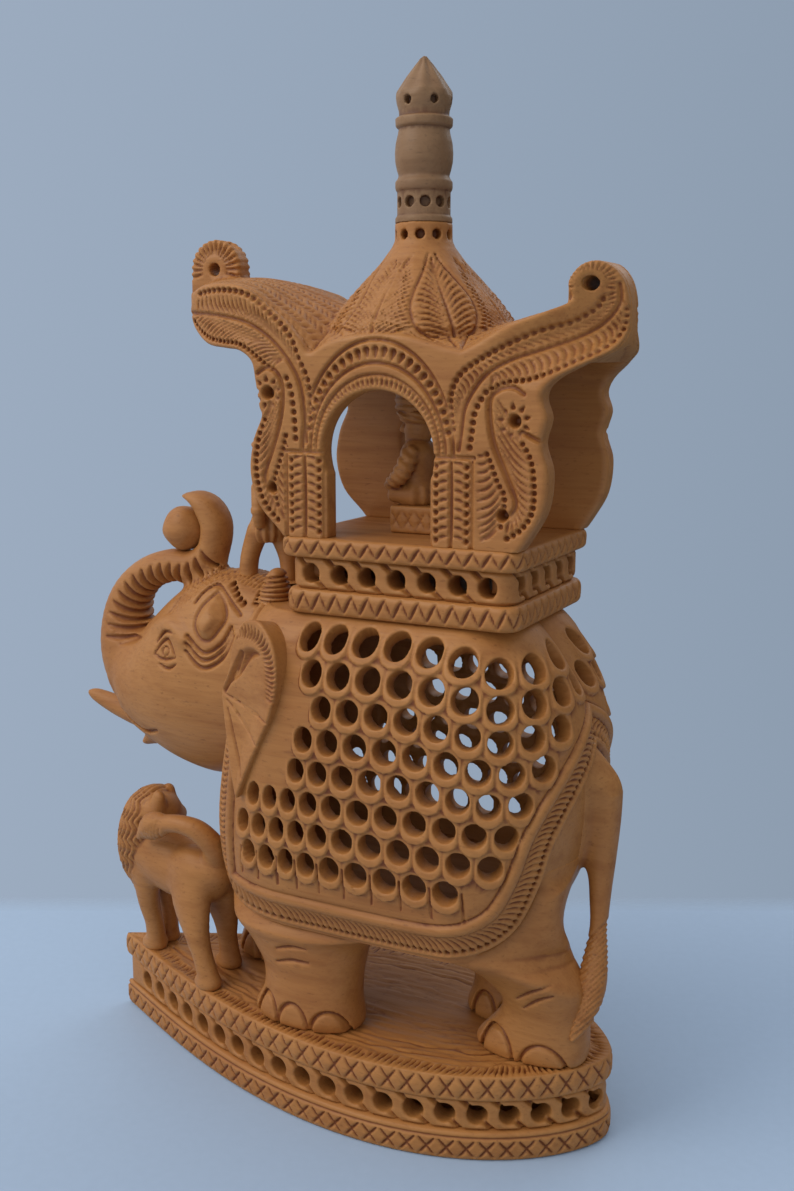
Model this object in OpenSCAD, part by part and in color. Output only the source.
// Carved wooden elephant under a howdah, standing on a pierced leaf-shaped plinth.
// Millimetres. The elephant faces -X, its left flank faces -Y, +Z is up.
// The origin lies on the underside of the plinth, below the axis of the dome and finial.

/* [Plinth] */
// Length of the leaf-shaped plinth over its mouldings
plinth_length = 149; // [140:0.5:160]
// Width of the plinth at its widest place
plinth_width = 60.5; // [58:0.5:68]
// Height of the lower moulding
plinth_lower_height = 7; // [6:0.1:9]
// Height of the pierced middle band
plinth_band_height = 8.2; // [7:0.1:10]
// Height of the upper moulding and its top board
plinth_upper_height = 6.3; // [5.5:0.1:8]
// How far the mouldings stand out from the pierced band
plinth_overhang = 1.2; // [0.6:0.1:2]
// Drill diameter of the plinth piercing
plinth_drill = 5; // [4:0.1:5.6]
// Number of drilled holes around the plinth
plinth_holes = 42; // [36:2:44]

/* [Elephant] */
// Clear height from plinth to belly
leg_height = 29.5; // [26:0.5:34]
// Length of the trunk of the body from chest to rump
body_length = 98; // [94:0.5:103]
// Width of the body over the blanket
body_width = 62; // [58:0.5:66]
// Height of the body from belly to the flat of the back
body_height = 77; // [72:0.5:82]
// Thickness of the pierced blanket wall
wall = 3.6; // [2.8:0.1:4.6]
// Width across the piercing of the blanket
jali_hole = 5.2; // [4.4:0.1:5.6]
// Length of the head from chest to brow
head_length = 42; // [39:0.5:45]
// Width of the head
head_width = 37; // [33:0.5:40]
// Height of the head from jaw to crown
head_height = 55; // [50:0.5:58]
// Size of the trunk and its curl
trunk_scale = 1; // [0.92:0.01:1.08]
// Radius of the ball held in the trunk
ball_radius = 5.9; // [5:0.1:6.3]
// Thickness of the ear flaps
ear_thickness = 3; // [2.6:0.1:3.6]
// Length of the tusk outside the lip
tusk_length = 24; // [18:0.5:30]

/* [Howdah] */
// Length of the howdah platform over its mouldings
platform_length = 61; // [58:0.5:66]
// Width of the howdah platform over its mouldings
platform_width = 48.5; // [45:0.5:52]
// Height of the platform's lower moulding
platform_lower_height = 5.6; // [4.6:0.1:7]
// Height of the platform's pierced band
platform_band_height = 7.8; // [7:0.1:9]
// Height of the platform's floor moulding
platform_floor_height = 4.6; // [4:0.1:6]
// Drill diameter of the platform piercing
platform_drill = 4.6; // [4:0.1:5]
// Thickness of the two arched side panels
panel_thickness = 6; // [5:0.1:7]
// Height of the side panels from floor to roof
panel_height = 40; // [38:0.5:43]
// Width of the arched opening
arch_width = 28; // [25:0.5:30]
// Reach of the roof to the front scroll from the dome's axis
roof_front_reach = 56.5; // [53:0.5:60]
// Reach of the roof to the rear scroll from the dome's axis
roof_rear_reach = 41.5; // [39:0.5:45]
// Radius of the roof scrolls
scroll_radius = 6.2; // [5.4:0.1:7]
// Radius of the dome's neck
neck_radius = 6.6; // [6.2:0.1:7.6]

/* [Finial] */
// Height of the finial above its seat on the dome
finial_height = 36.5; // [32:0.5:42]
// Length of the finial's peg
peg_length = 9; // [7:0.5:10]
// Radius of the finial's peg
peg_radius = 3; // [2.6:0.1:3.4]

/* [Part] */
// Which piece to show

/* [Hidden] */
fit = 0.03;
dowel_radius = 3;
tenon_radius = 4;
wood = [0.80, 0.53, 0.28];
pale_wood = [0.82, 0.66, 0.46];

// Heights of the stack from the table up
plinth_top = plinth_lower_height + plinth_band_height + plinth_upper_height;
belly_z = plinth_top + leg_height;
back_z = belly_z + body_height;
floor_z = back_z + platform_lower_height + platform_band_height + platform_floor_height;
roof_z = floor_z + panel_height;
seat_z = roof_z + 31.5;

// Places along the body
body_mid = -2;
howdah_x = 4;
panel_x = howdah_x - 1.5;
arch_x = -0.5;
body_end = body_length * 0.285;
body_core = body_length / 2 - body_end;
body_z = belly_z + body_height * 0.507;
chest_x = body_mid - body_length / 2;
rump_x = body_mid + body_length / 2;
head_z = body_z + 14.5;

// Places across the howdah
panel_y = platform_width / 2 - 0.8;
panel_half = platform_length / 2 - 8;
roof_half_width = panel_y;

// Curves through control points, each point holding a place and its radii
function through(a, b, c, d, t) =
    0.5 * (2 * b + (c - a) * t + (2 * a - 5 * b + 4 * c - d) * t * t + (3 * b - a - 3 * c + d) * t * t * t);
function curve(k, m) = [
    for (i = [0 : len(k) - 2], s = [0 : m - 1])
        through(k[max(i - 1, 0)], k[i], k[i + 1], k[min(i + 2, len(k) - 1)], s / m),
    k[len(k) - 1]];
function place(p) = [p[0], p[1], p[2]];
function unit(v) = v / norm(v);
function along(p, i) = unit(place(p[min(i + 1, len(p) - 1)]) - place(p[max(i - 1, 0)]));

// A closed skin over rings with equal numbers of points
module skin(rings) {
    n = len(rings[0]);
    last = (len(rings) - 1) * n;
    points = [for (r = rings, p = r) p];
    sides = [
        for (i = [0 : len(rings) - 2], j = [0 : n - 1])
            let (a = i * n + j, b = i * n + (j + 1) % n, c = a + n, d = b + n)
                each [[a, b, d], [a, d, c]]];
    caps = [[for (j = [n - 1 : -1 : 0]) j], [for (j = [0 : n - 1]) last + j]];
    polyhedron(points, concat(sides, caps), 8);
}

// A limb swept along a curve; each control point is [x, y, z, radius in the plane, radius across]
module limb(points, steps, sides) {
    p = curve(points, steps);
    skin([
        for (i = [0 : len(p) - 1])
            let (t = along(p, i), across = unit(cross([t[2], 0, -t[0]], t)), rise = unit(cross(t, across)))
                [for (j = [0 : sides - 1])
                    let (turn = 360 * j / sides)
                        place(p[i]) + rise * p[i][3] * cos(turn) + across * p[i][4] * sin(turn)]]);
}

// Leaf outline of the plinth, pointed at the front and round at the rear
plinth_front = plinth_length * 0.654;
function leaf_share(t) = pow(t, 1.1) * pow(1 - t, 0.66) / (pow(0.625, 1.1) * pow(0.375, 0.66));
function leaf_side(inset) = [
    for (i = [0 : 30])
        let (t = (1 - cos(6 * i)) / 2)
            [-plinth_front + inset * 1.6 + (plinth_length - 2.6 * inset) * t,
             (plinth_width / 2 - inset) * leaf_share(t)]];
function leaf(inset) = let (s = leaf_side(inset))
    concat([for (i = [0 : 30]) [s[i][0], -s[i][1]]], [for (i = [29 : -1 : 1]) s[i]]);

// Even spacing around a closed outline
function step(p, i) = norm(p[(i + 1) % len(p)] - p[i % len(p)]);
function lengths(p) = [for (i = 0, s = 0; i <= len(p); s = s + step(p, i), i = i + 1) s];
function on_outline(p, run, s) = [
    lookup(s, [for (i = [0 : len(p)]) [run[i], p[i % len(p)][0]]]),
    lookup(s, [for (i = [0 : len(p)]) [run[i], p[i % len(p)][1]]])];

dowel_places = [[-plinth_front * 0.72, 0], [plinth_front * 0.02, 0]];

module dowel_bores(z0, z1) {
    for (p = dowel_places)
        translate([p[0], p[1], z0]) cylinder(h = z1 - z0, r = dowel_radius, $fn = 32);
}

module plinth_lower_moulding() {
    color(wood) difference() {
        linear_extrude(plinth_lower_height) polygon(leaf(0));
        dowel_bores(3, plinth_lower_height + 1);
    }
}

module plinth_pierced_band() {
    outline = leaf(plinth_overhang);
    run = lengths(outline);
    total = run[len(outline)];
    mid = plinth_lower_height + plinth_band_height / 2;
    color(wood) difference() {
        translate([0, 0, plinth_lower_height]) linear_extrude(plinth_band_height) polygon(outline);
        dowel_bores(plinth_lower_height - 1, plinth_lower_height + plinth_band_height + 1);
        for (i = [0 : plinth_holes - 1]) {
            s = (i + 0.5) * total / plinth_holes;
            p = on_outline(outline, run, s);
            q = on_outline(outline, run, min(s + 0.6, total)) - on_outline(outline, run, max(s - 0.6, 0));
            if (p[0] > 6 - plinth_front)
                translate([p[0], p[1], mid]) rotate([0, 0, atan2(-q[0], q[1])]) rotate([0, -90, 0])
                    translate([0, 0, -1]) cylinder(h = 6.5, r = plinth_drill / 2, $fn = 20);
        }
    }
}

module plinth_top_board() {
    color(wood) difference() {
        translate([0, 0, plinth_top - plinth_upper_height])
            linear_extrude(plinth_upper_height) polygon(leaf(0));
        dowel_bores(plinth_top - plinth_upper_height - 1, plinth_top - 2);
        for (p = feet)
            translate([p[0], p[1], plinth_top - 5]) cylinder(h = 6, r = tenon_radius, $fn = 32);
        lion_pegs();
    }
}

module plinth_dowels() {
    color(pale_wood) dowel_bores(3, plinth_top - 2);
}

// Body form: a rounded block, flat above and below, given by a place around it and a height
columns_end = 11;
columns_flank = 5;
columns = 2 * (columns_end + columns_flank);
rows = 9;
function around(q) = let (h = columns_end / 2, w = (q + 2 * columns) % columns)
    w < h ? [-body_core, 180 + 90 * w / h]
    : w < h + columns_flank ? [-body_core + 2 * body_core * (w - h) / columns_flank, 270]
    : w < h + columns_flank + columns_end ? [body_core, 270 + 180 * (w - h - columns_flank) / columns_end]
    : w < h + 2 * columns_flank + columns_end
        ? [body_core - 2 * body_core * (w - h - columns_flank - columns_end) / columns_flank, 90]
    : [-body_core, 90 + 90 * (w - h - 2 * columns_flank - columns_end) / h];
function superellipse(t, e) = pow(1 - pow(t, e), 1 / e);
// The rump falls away under the tail and below the back, the chest stands forward over the knees
function swell(z, a) = let (rear = max(0, cos(a)))
    z > body_z
    ? superellipse((z - body_z) / (body_height * 0.545), 2 + 1.2 * abs(sin(a)) - 0.4 * rear)
    : superellipse((body_z - z) / (body_height * (0.715 - 0.115 * rear)), 3 - rear);
function chest_swell(z, a) = 5.5 * max(0, -cos(a)) * sin(90 * min(1, max(0, (body_z + 8 - z) / 30)));
function body_point(q, z, inset) = let (w = around(q), s = swell(z, w[1]))
    [body_mid + w[0] + (body_end - inset) * cos(w[1]) * s - chest_swell(z, w[1]),
     (body_width / 2 - inset) * sin(w[1]) * s, z];
function level(k) = k == 0 ? belly_z : k > rows + 1 ? back_z
    : belly_z + 7 + (k - 1) * (body_height - 13) / rows;
function inner_level(k) = min(max(level(k), belly_z + wall), back_z - wall);
function skirt(x) = belly_z + 10 + (x > 16 ? 46 * pow((x - 16) / (rump_x - 16), 1.5) : 0);
function pierced(k, j) = let (p = body_point(j + 0.5 + 0.5 * (k % 2), (level(k) + level(k + 1)) / 2, 0))
    k > 0 && k <= rows && p[0] > chest_x + 11 && p[2] > skirt(p[0]);

// Corners of a cell in order, as [place around, level]
function cell(k, j) = let (q = j + 0.5 * (k % 2))
    [[q, k], [q + 0.5, k], [q + 1, k], [q + 1, k + 1], [q + 0.5, k + 1], [q, k + 1]];
function corner_index(c) = c[1] * 2 * columns + (round(2 * c[0]) % (2 * columns));
corner_turn = [210, 270, 330, 30, 90, 150];

function body_grid(inset) = [
    for (k = [0 : rows + 2], i = [0 : 2 * columns - 1])
        body_point(i / 2, inset > 0 ? inner_level(k) : level(k), inset)];

// The hexagonal opening in a cell, on the outer or the inner face of the wall
function hole_ring(k, j, inset) = let (
    q = j + 0.5 + 0.5 * (k % 2),
    z = (level(k) + level(k + 1)) / 2,
    width = norm(body_point(q + 0.5, z, 0) - body_point(q - 0.5, z, 0)),
    rise = (level(k + 1) - level(k)) / 2,
    across = min(jali_hole / 2 / width, 0.4))
    [for (a = corner_turn)
        body_point(q + across * cos(a), z + min(jali_hole / 2, rise * 0.8) * sin(a), inset)];

// A wedge of the body's outer face, from half column i0 to i1 and level k0 to k1, closed to the body's core
module body_wedge(i0, i1, k0, k1) {
    n = i1 - i0 + 1;
    m = k1 - k0 + 1;
    core = [body_mid, 0, back_z - 6];
    points = concat([for (k = [k0 : k1], i = [i0 : i1]) body_point(i / 2, level(k), 0)], [core]);
    face = [
        for (k = [0 : m - 2], i = [0 : n - 2])
            let (a = k * n + i)
                each [[a, a + n, a + 1], [a + 1, a + n, a + n + 1]]];
    rim = concat([for (i = [0 : n - 2]) [i, i + 1, n * m]],
                 [for (k = [0 : m - 2]) [(k + 1) * n - 1, (k + 2) * n - 1, n * m]],
                 [for (i = [0 : n - 2]) [(m - 1) * n + i + 1, (m - 1) * n + i, n * m]],
                 [for (k = [0 : m - 2]) [(k + 1) * n, k * n, n * m]]);
    polyhedron(points, concat(face, rim), 8);
}

module torso() {
    outer = body_grid(0);
    inner = body_grid(wall);
    n = 2 * columns;
    shift = len(outer);
    top = (rows + 2) * n;
    open_cells = [for (k = [1 : rows], j = [0 : columns - 1]) if (pierced(k, j)) [k, j]];
    first = 2 * shift;
    rings = [for (o = open_cells, inset = [0, wall], p = hole_ring(o[0], o[1], inset)) p];
    plain = [
        for (k = [0 : rows + 1], j = [0 : columns - 1])
            if (!pierced(k, j))
                let (c = [for (v = cell(k, j)) corner_index(v)])
                    each concat(
                        [[c[0], c[5], c[1]], [c[1], c[5], c[4]], [c[1], c[4], c[2]], [c[2], c[4], c[3]]],
                        [for (t = [[0, 1, 5], [1, 4, 5], [1, 2, 4], [2, 3, 4]]) [for (v = t) c[v] + shift]])];
    holes = [
        for (m = [0 : len(open_cells) - 1], s = [0 : 5])
            let (o = open_cells[m],
                 c = [for (v = cell(o[0], o[1])) corner_index(v)],
                 u = (s + 1) % 6,
                 a = first + 12 * m + s,
                 b = first + 12 * m + u)
                each [[c[s], a, b], [c[s], b, c[u]],
                      [c[s] + shift, b + 6, a + 6], [c[s] + shift, c[u] + shift, b + 6],
                      [a, a + 6, b + 6], [a, b + 6, b]]];
    caps = [[for (j = [0 : n - 1]) j], [for (j = [n - 1 : -1 : 0]) top + j],
            [for (j = [n - 1 : -1 : 0]) shift + j], [for (j = [0 : n - 1]) shift + top + j]];
    color(wood) polyhedron(concat(outer, inner, rings), concat(plain, holes, caps), 8);
}

// Head and trunk
function head_station(x, dz, h, w) = [chest_x + x * head_length, 0, head_z + dz,
                                      head_height / 2 * h, head_width / 2 * w];
module head_block() {
    limb([head_station(0.4, 0, 0.87, 0.98), head_station(0, 0, 0.97, 1), head_station(-0.2, -0.4, 0.99, 1),
          head_station(-0.45, -2, 0.86, 0.93), head_station(-0.68, -4.2, 0.63, 0.78),
          head_station(-0.84, -5, 0.46, 0.6), head_station(-0.94, -5.4, 0.2, 0.3)], 3, 24);
}

trunk_x = chest_x - 0.76 * head_length;
trunk_z = head_z - 4.8;
function bend(x, z, a, b) =
    [trunk_x + x * trunk_scale, 0, trunk_z + z * trunk_scale, a * trunk_scale, b * trunk_scale];
ball_x = trunk_x + (6.8 + ball_radius) * trunk_scale;
ball_z = trunk_z + 36.6 * trunk_scale + ball_radius;
module trunk_form() {
    limb([bend(7, -1, 12, 10.5), bend(-1, 2.4, 11.4, 10.4), bend(-6, 8.4, 9, 9), bend(-7.3, 16.6, 6.9, 7.4),
          bend(-5, 24, 5.4, 6.4), bend(0.8, 29.6, 4.6, 5.6), bend(8.6, 32.3, 4.4, 5.2),
          bend(15.8, 32.8, 4.2, 5), bend(21.2, 36.8, 4, 4.8), bend(22.8, 43.5, 3.8, 4.6),
          bend(18.8, 50, 2.2, 3.4)], 3, 16);
}

module head() {
    color(wood) difference() {
        union() {
            head_block();
            trunk_form();
        }
        body_wedge(-columns_end, columns_end, 0, rows + 2);
        translate([ball_x, 0, ball_z]) sphere(r = ball_radius, $fn = 40);
        tusk_form(1);
    }
}

module trunk_ball() {
    color(wood) translate([ball_x, 0, ball_z]) sphere(r = ball_radius, $fn = 40);
}

// The tusk sits in the right side of the lip
module tusk_form(side) {
    k = tusk_length / 24;
    x = trunk_x - 4.5;
    y = head_width * 0.24;
    z = trunk_z - 14.5;
    limb([[x + 10, side * (y - 1), z + 7, 2.7, 2.7], [x, side * y, z, 2.7, 2.7],
          [x - 10 * k, side * (y + 1), z - 3.4, 2.5, 2.5], [x - 19 * k, side * (y + 0.6), z - 0.5, 1.9, 1.9],
          [x - 25.5 * k, side * y, z + 3.4, 0.9, 0.9]], 3, 12);
}

module tusk_right() {
    color(pale_wood) tusk_form(1);
}

// Ears stand off the shoulder on a root, turned outward and leaning in at the top
ear_turn = 31;
ear_lean = 4.9;
ear_root = 7;
ear_stand = 1.6734;
// Half width of the shoulder at a distance behind the chest
function shoulder(x) = body_width / 2 * sqrt(1 - pow(1 - x / body_end, 2));
module ear_plate() {
    linear_extrude(ear_thickness) union() {
        translate([9, 9.5]) circle(r = 10.6, $fn = 48);
        polygon([[-1.6, 8], [19.5, 8], [16.5, -7], [8, -20], [5, -21.5], [2, -19], [-1.8, -4]]);
    }
}

module ear(side) {
    mirror([0, side > 0 ? 1 : 0, 0]) union() {
        ear_place() ear_plate();
        difference() {
            ear_place() translate([2, -8, -5]) cube([11, 15, 5.5]);
            body_wedge(3, 15, 2, rows + 2);
        }
    }
}

module ear_place() {
    translate([chest_x + ear_root, -shoulder(ear_root) - ear_stand, head_z])
        rotate([0, 0, -ear_turn]) rotate([90 - ear_lean, 0, 0])
            children();
}

module ear_left() {
    color(wood) ear(-1);
}

module ear_right() {
    color(wood) ear(1);
}

// Legs stand on the plinth with round tenons, the right pair a step ahead
foot_y = body_width * 0.29;
front_left = [chest_x + body_length * 0.286, -foot_y];
front_right = [chest_x + body_length * 0.02, foot_y * 0.62];
rear_left = [rump_x - body_length * 0.13, -foot_y * 0.42];
rear_right = [rump_x - body_length * 0.24, foot_y * 0.46];
feet = [front_left, front_right, rear_left, rear_right];
function leg_ring(x, y, z, a, b) = [
    for (j = [0 : 27])
        [x + a * cos(360 * j / 28), y - b * sin(360 * j / 28), z]];
// A leg from its foot to its place under the belly, with half length and half width of the foot
module leg(foot, hip, a, b) {
    h = leg_height;
    d = hip - foot;
    skin([leg_ring(foot[0], foot[1], plinth_top, a * 1.05, b * 1.05),
          leg_ring(foot[0], foot[1], plinth_top + 0.16 * h, a, b),
          leg_ring(foot[0] + 0.3 * d[0], foot[1] + 0.3 * d[1], plinth_top + 0.42 * h, a * 0.9, b * 0.95),
          leg_ring(foot[0] + 0.75 * d[0], foot[1] + 0.75 * d[1], plinth_top + 0.75 * h, a, b * 1.05),
          leg_ring(hip[0], hip[1], belly_z, a * 1.08, b * 1.12)]);
    translate([foot[0], foot[1], plinth_top - 5]) cylinder(h = 6, r = tenon_radius, $fn = 32);
}

module leg_front_left() {
    hip = [front_left[0] + 1, -foot_y * 0.88];
    color(wood) leg(front_left, hip, body_length * 0.15, body_width * 0.15);
}

module leg_front_right() {
    hip = [chest_x + body_length * 0.11, foot_y * 0.72];
    color(wood) leg(front_right, hip, body_length * 0.125, body_width * 0.14);
}

module leg_rear_left() {
    hip = [rump_x - body_length * 0.25, -foot_y * 0.72];
    color(wood) leg(rear_left, hip, body_length * 0.132, body_width * 0.114);
}

module leg_rear_right() {
    hip = [rump_x - body_length * 0.27, foot_y * 0.74];
    color(wood) leg(rear_right, hip, body_length * 0.132, body_width * 0.114);
}

// Tail hangs down the rump and ends in a tuft
module tail() {
    z1 = body_z + 6;
    drop = z1 - plinth_top;
    color(wood) difference() {
        limb([[rump_x - 3, 0, z1 + 4, 3.2, 3.4], [rump_x + 1.4, 0, z1 - 0.08 * drop, 2.6, 2.8],
              [rump_x + 2, 0, z1 - 0.28 * drop, 2.1, 2.2], [rump_x + 0.6, 0, z1 - 0.48 * drop, 1.9, 2.1],
              [rump_x - 0.8, 0, z1 - 0.64 * drop, 2.3, 2.5], [rump_x - 3.2, 0, z1 - 0.76 * drop, 2.9, 3],
              [rump_x - 6, 0, z1 - 0.86 * drop, 1.4, 1.8]], 3, 12);
        body_wedge(columns - 4, columns + 4, 0, rows + 2);
    }
}

// The lion strides ahead of the elephant, turned along the edge of the plinth
lion_peg = 1.4;
lion_place = [-plinth_front + 27.5, -6.5];
lion_turn = -14;
lion_feet = [[-14, -2.4], [-10, 3.2], [13, -5], [8, 4.6]];
lion_hips = [[-10.5, -3.6], [-10.5, 3.6], [6.5, -3.8], [6.5, 3.8]];
module lion_pegs() {
    for (p = lion_feet)
        translate([lion_place[0], lion_place[1], plinth_top - 3]) rotate([0, 0, lion_turn])
            translate([p[0], p[1], 0]) cylinder(h = 4, r = lion_peg, $fn = 20);
}

module lion() {
    color(wood) union() {
        translate([lion_place[0], lion_place[1], plinth_top]) rotate([0, 0, lion_turn]) difference() {
            union() {
                limb([[12.5, 0, 27, 3.4, 4], [8, 0, 27, 7, 6.4], [0, 0, 25.5, 6.6, 6.2], [-9, 0, 27, 8, 6.8],
                      [-13, 0, 31, 5, 5]], 3, 14);
                limb([[-8, 0, 18, 3.4, 4], [-12, 0, 23, 9.5, 8], [-15.5, 0, 31, 12, 9],
                      [-16.5, 0, 39, 10, 7.6], [-17, 0, 44.5, 4, 4.4]], 3, 14);
                for (i = [0 : 3])
                    lion_leg(lion_feet[i], lion_hips[i]);
                limb([[11, 0, 28, 2.6, 2.4], [15.8, -0.4, 31, 2.2, 2.2], [16, -1, 36, 2, 2.2],
                      [11, -2.6, 39, 1.7, 2], [2.5, -5.4, 37, 2, 2], [-2.5, -7.4, 33.5, 2.6, 2.2],
                      [-5.5, -8.4, 30.5, 0.8, 0.8]], 3, 10);
            }
            translate([-30, -15, -8]) cube([60, 30, 8]);
        }
        lion_pegs();
    }
}

module lion_leg(foot, hip) {
    knee = 0.4 * foot[0] + 0.6 * hip[0];
    limb([[foot[0], foot[1], -2, 2.8, 2.4], [foot[0], foot[1], 4, 2.4, 2.1], [knee, hip[1], 14, 3, 2.5],
          [hip[0], hip[1], 24, 4.4, 3]], 2, 10);
}

// Driver standing on the elephant's neck, one foot ahead
mahout_x = chest_x + 7;
mahout_z = head_z + head_height / 2 * 0.97;
module mahout() {
    color(wood) difference() {
        union() {
            translate([mahout_x, 0, mahout_z + 9]) rotate_extrude($fn = 36) polygon([
                [0, 0], [5.8, 0], [5.4, 3], [4, 8], [4.8, 15], [3.8, 17.5], [1.8, 18.6], [1.8, 20], [3, 21.4],
                [3.4, 23.6], [2.9, 25.4], [4, 26], [4, 27.8], [2.2, 30], [0, 30.6]]);
            for (k = [-1, 1])
                limb([[mahout_x + k * 1.6, k * 1.5, mahout_z + 11, 2.6, 2.8],
                      [mahout_x + k * 4.6, k * 2, mahout_z + 4, 2.4, 2.4],
                      [mahout_x + k * 5.4, k * 2, mahout_z - 3.5, 2.2, 2.4]], 3, 10);
            for (k = [-1, 1])
                limb([[mahout_x, k * 4.4, mahout_z + 23.5, 2, 2],
                      [mahout_x - 1.5, k * 6.6, mahout_z + 18, 1.8, 1.8],
                      [mahout_x - 5.6, k * 3.4, mahout_z + 15, 1.4, 1.4]], 3, 10);
        }
        head_block();
    }
}

// Howdah platform
module slab(length, width, height) {
    linear_extrude(height) offset_box(length, width, 1.6);
}

module offset_box(length, width, r) {
    union() {
        square([length - 2 * r, width], center = true);
        square([length, width - 2 * r], center = true);
        for (x = [-1, 1], y = [-1, 1])
            translate([x * (length / 2 - r), y * (width / 2 - r)]) circle(r = r, $fn = 24);
    }
}

module platform_lower_moulding() {
    color(wood) translate([howdah_x, 0, back_z])
        slab(platform_length - 1.6, platform_width - 1.6, platform_lower_height);
}

band_z = back_z + platform_lower_height;
band_length = platform_length - 4;
band_width = platform_width - 4;
drill_depth = 7;
holes_long = 7;
holes_short = 5;
function spaced(i, count, length) = (i - (count - 1) / 2) * length / (count + 0.6);
module platform_pierced_band() {
    mid = band_z + platform_band_height / 2;
    color(wood) translate([howdah_x, 0, 0]) difference() {
        translate([0, 0, band_z]) slab(band_length, band_width, platform_band_height);
        for (i = [0 : holes_long - 1], side = [-1, 1])
            translate([spaced(i, holes_long, band_length), side * band_width / 2, mid]) rotate([90, 0, 0])
                cylinder(h = 2 * drill_depth, r = platform_drill / 2, center = true, $fn = 24);
        for (i = [0 : holes_short - 1], side = [-1, 1])
            translate([side * band_length / 2, spaced(i, holes_short, band_width), mid]) rotate([0, 90, 0])
                cylinder(h = 2 * drill_depth, r = platform_drill / 2, center = true, $fn = 24);
    }
}

panel_tenon = [8, 2.4, 3];
panel_tenon_x = arch_width / 2 + 4.5;
module panel_tenons(side) {
    for (x = [-1, 1])
        translate([arch_x + x * panel_tenon_x, side * (panel_y - panel_thickness / 2), floor_z])
            translate([0, 0, 0.5 - panel_tenon[2] / 2])
                cube([panel_tenon[0], panel_tenon[1], panel_tenon[2] + 1], center = true);
}

module platform_floor() {
    color(wood) difference() {
        translate([howdah_x, 0, floor_z - platform_floor_height])
            slab(platform_length, platform_width, platform_floor_height);
        for (side = [-1, 1])
            panel_tenons(side);
    }
}

// Arched side panels with peacock outlines at both ends
module peacock_side(side) {
    h = panel_height;
    scale([side, 1]) translate([panel_half, 0]) {
        translate([4.2, h * 0.375]) circle(r = 10.6, $fn = 56);
        translate([5, h * 0.76]) circle(r = 7, $fn = 48);
        polygon([[-panel_half, 0], [8.5, 0], [11.3, h * 0.18], [-panel_half, h * 0.4]]);
        polygon([[-panel_half, h * 0.8], [12, h * 0.78], [12.4, h * 0.9], [14.5, h], [-panel_half, h]]);
    }
}

module panel_outline() {
    spring = panel_height * 0.5;
    half = arch_width / 2;
    difference() {
        translate([panel_x, 0]) union() {
            translate([-panel_half, 0]) square([2 * panel_half, panel_height]);
            for (side = [-1, 1])
                peacock_side(side);
        }
        translate([arch_x - half + 1.2, -1]) square([2 * half - 2.4, spring + 1.5]);
        translate([arch_x, spring]) circle(r = half, $fn = 72);
    }
}

module side_panel(side) {
    union() {
        translate([0, side * panel_y + (side < 0 ? panel_thickness : 0), floor_z])
            rotate([90, 0, 0]) linear_extrude(panel_thickness) panel_outline();
        panel_tenons(side);
    }
}

module side_panel_left() {
    color(wood) side_panel(-1);
}

module side_panel_right() {
    color(wood) side_panel(1);
}

// Rider seated in the howdah
rider_x = -1;
module rider_seat() {
    color(wood) translate([rider_x - 4.5, -7, floor_z]) cube([13, 14, 6.5]);
}

module rider() {
    z = floor_z + 6.5;
    color(wood) union() {
        translate([rider_x, 0, z]) rotate_extrude($fn = 40) polygon([
            [0, 0], [5.6, 0], [6, 1.6], [5, 4], [4.2, 6], [5.6, 11.5], [5.2, 13.6], [2.4, 14.8], [2.4, 15.6],
            [4, 17], [4.6, 19.4], [4.4, 21.6], [5.9, 22.2], [5.9, 24.6], [5.2, 25], [5.2, 27], [0, 28]]);
        for (side = [-1, 1])
            limb([[rider_x, side * 4.8, z + 12.4, 2.2, 2.2], [rider_x - 1.5, side * 7, z + 7.4, 2.2, 2.2],
                  [rider_x - 5.5, side * 4.5, z + 5, 1.6, 1.6]], 3, 10);
    }
}

// Roof: two upswept wings, scrolls at both ends and a domed middle with a neck
valley = 20;
function reach(x) = x < 0 ? roof_front_reach : roof_rear_reach;
function rise(t) = let (u = min(max(t, 0), 1)) u * u * (3 - 2 * u);
// Height of the side face's top edge, of the underside and of the ridge above the panels
function eave(x) = abs(x) < valley ? 6 - 4 * pow(x / valley, 2)
    : 2 + ((x < 0 ? 17.5 : 12.5) - 2) * rise((abs(x) - valley) / (reach(x) - valley));
function under(x) = (x < 0 ? 8 : 3.5) * pow(max(0, (abs(x) / reach(x) - 0.66) / 0.34), 1.3);
function ridge(x) = max(eave(x) + 0.8, x < 0 ? 12 + 8.5 * rise((-x - 2) / 44) : 10 + 3 * rise((x - 8) / 34));
function half_width(x) = roof_half_width * (1 - 0.36 * pow(max(0, abs(x) / reach(x) - 0.55) / 0.45, 2));
function roof_ring(x) = let (y = half_width(x), e = eave(x), r = ridge(x))
    concat([[x, -y, roof_z + under(x)]],
           [for (k = [[-1, 0], [-0.72, 0.5], [-0.38, 0.86], [0, 1], [0.38, 0.86], [0.72, 0.5], [1, 0]])
               [x, k[0] * y, roof_z + e + k[1] * (r - e)]],
           [[x, y, roof_z + under(x)]]);

// A scroll is an upright lug with a round head, standing on the ridge
module scroll(x, z, r) {
    translate([x, 0, z]) rotate([90, 0, 0]) linear_extrude(scroll_width, center = true) union() {
        circle(r = r, $fn = 56);
        translate([-r, -9]) square([2 * r, 9]);
    }
}

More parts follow.
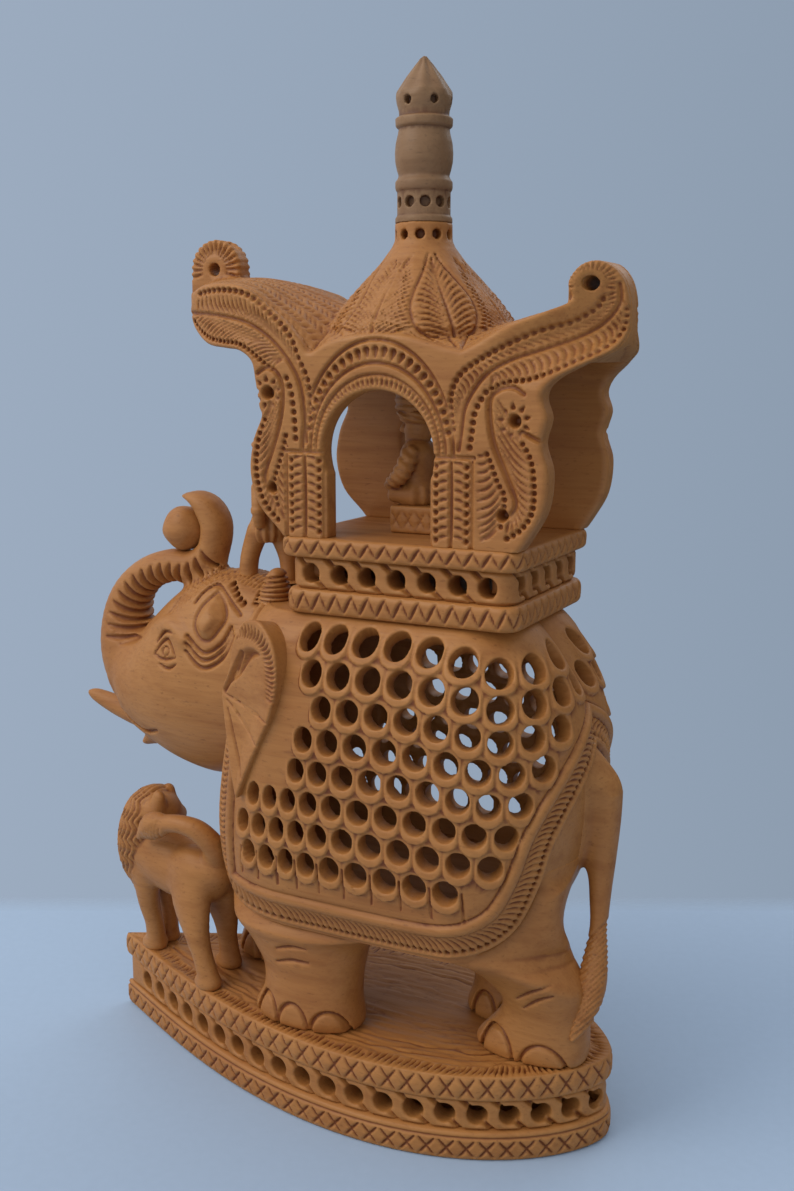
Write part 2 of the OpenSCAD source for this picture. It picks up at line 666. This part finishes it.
scroll_width = 8;
front_scroll_z = roof_z + 22.8;
rear_scroll_z = roof_z + 17;
module roof() {
    steps = 26;
    span = roof_front_reach + roof_rear_reach + 4;
    color(wood) difference() {
        union() {
            skin([for (i = [0 : steps]) roof_ring(-roof_front_reach - 1 + span * i / steps)]);
            scroll(-roof_front_reach, front_scroll_z, scroll_radius);
            scroll(roof_rear_reach, rear_scroll_z, scroll_radius * 0.92);
            translate([0, 0, roof_z]) rotate_extrude($fn = 72) polygon([
                [0, 0], [22.6, 0], [22.6, 8], [19.8, 11.4], [16.7, 15.2], [13.3, 19], [9.6, 22.8],
                [neck_radius + 0.5, 26], [neck_radius, 27], [neck_radius, 31.5], [0, 31.5]]);
        }
        for (s = [[-roof_front_reach, front_scroll_z], [roof_rear_reach, rear_scroll_z]])
            translate([s[0], 0, s[1]]) rotate([90, 0, 0]) cylinder(h = 18, r = 1.7, center = true, $fn = 24);
        translate([0, 0, seat_z - peg_length - 0.5])
            cylinder(h = peg_length + 1, r = peg_radius + fit, $fn = 40);
        for (i = [0 : 9])
            translate([0, 0, seat_z - 2.8]) rotate([0, 0, 36 * i]) rotate([0, 90, 0])
                translate([0, 0, neck_radius - 1.6]) cylinder(h = 3, r = 1.1, $fn = 16);
    }
}

// Finial, turned apart and plugged into the dome's neck
module finial() {
    h = finial_height;
    r = neck_radius;
    color(pale_wood) translate([0, 0, seat_z]) difference() {
        rotate_extrude($fn = 72) polygon([
            [0, -peg_length], [peg_radius - 0.4, -peg_length], [peg_radius, 0.4 - peg_length],
            [peg_radius, 0], [r, 0], [r, 0.03 * h], [r - 0.4, 0.06 * h], [r - 0.4, 0.19 * h],
            [r - 0.1, 0.2 * h], [r, 0.22 * h], [r, 0.25 * h], [r - 0.5, 0.27 * h],
            [r - 0.8, 0.29 * h], [r - 0.2, 0.35 * h], [r + 0.1, 0.42 * h],
            [r - 0.2, 0.49 * h], [r - 0.8, 0.56 * h], [r - 0.8, 0.57 * h], [r, 0.58 * h], [r, 0.635 * h],
            [r - 1, 0.65 * h], [r - 0.6, 0.7 * h], [r - 0.1, 0.745 * h], [r - 0.2, 0.77 * h],
            [0.6 * r, 0.88 * h], [0.5, h], [0, h]]);
        for (i = [0 : 9])
            rotate([0, 0, 36 * i]) translate([0, 0, 0.125 * h]) rotate([0, 90, 0])
                translate([0, 0, r - 2]) cylinder(h = 3, r = 1.25, $fn = 16);
    }
}

plinth_lower_moulding();
plinth_pierced_band();
plinth_top_board();
plinth_dowels();
torso();
head();
ear_left();
ear_right();
tusk_right();
trunk_ball();
leg_front_left();
leg_front_right();
leg_rear_left();
leg_rear_right();
tail();
lion();
mahout();
platform_lower_moulding();
platform_pierced_band();
platform_floor();
side_panel_left();
side_panel_right();
rider();
rider_seat();
roof();
finial();
